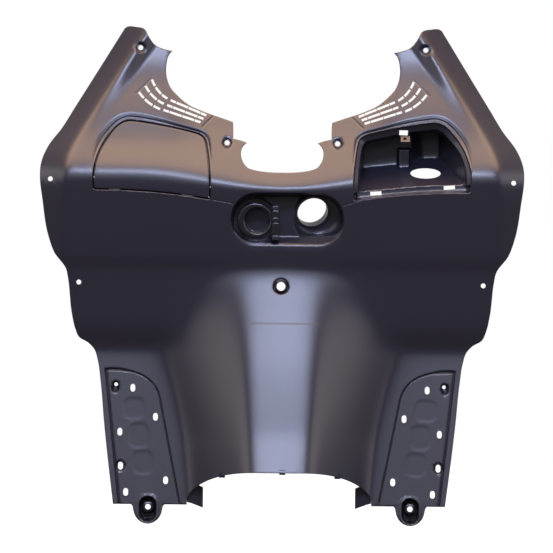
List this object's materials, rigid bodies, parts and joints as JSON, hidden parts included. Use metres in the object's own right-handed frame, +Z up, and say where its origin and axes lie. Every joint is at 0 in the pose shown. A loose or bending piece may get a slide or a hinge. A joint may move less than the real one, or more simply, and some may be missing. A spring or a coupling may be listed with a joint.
{
  "type": "scooter leg shield",
  "caption": "Moulded inner leg shield for a scooter with storage bins, a hinged storage lid, a folding bag hook and an ignition lock hole.",
  "frame": {"origin": "centre of the middle fixing hole, at the panel's face on its plane of symmetry", "axes": "+X to the rider's right as seen from the seat, +Z up along the panel, -Y towards the rider, along the fixing screws"},
  "size_m": [0.4846, 0.1524, 0.497],
  "materials": {
    "panel_plastic": "fine moulded grain",
    "lid_plastic": "fine moulded grain",
    "hook_plastic": "smooth",
    "pin_steel": "plain"
  },
  "bodies": {
    "panel": {"leg_shield": "panel_plastic", "hook_pin": "pin_steel"},
    "lid": {"glovebox_lid": "lid_plastic"},
    "hook": {"bag_hook": "hook_plastic"}
  },
  "joints": [
    {"name": "lid_hinge", "type": "hinge", "parent": "panel", "child": "lid", "pos_m": [-0.13005, -0.00215, 0.1027], "axis": [0.997, 0, -0.078], "range_deg": [0, 70]},
    {"name": "hook_hinge", "type": "hinge", "parent": "panel", "child": "hook", "pos_m": [-0.006, 0.0015, 0.0637], "axis": [0, 0, 1], "range_deg": [0, 90]}
  ]
}
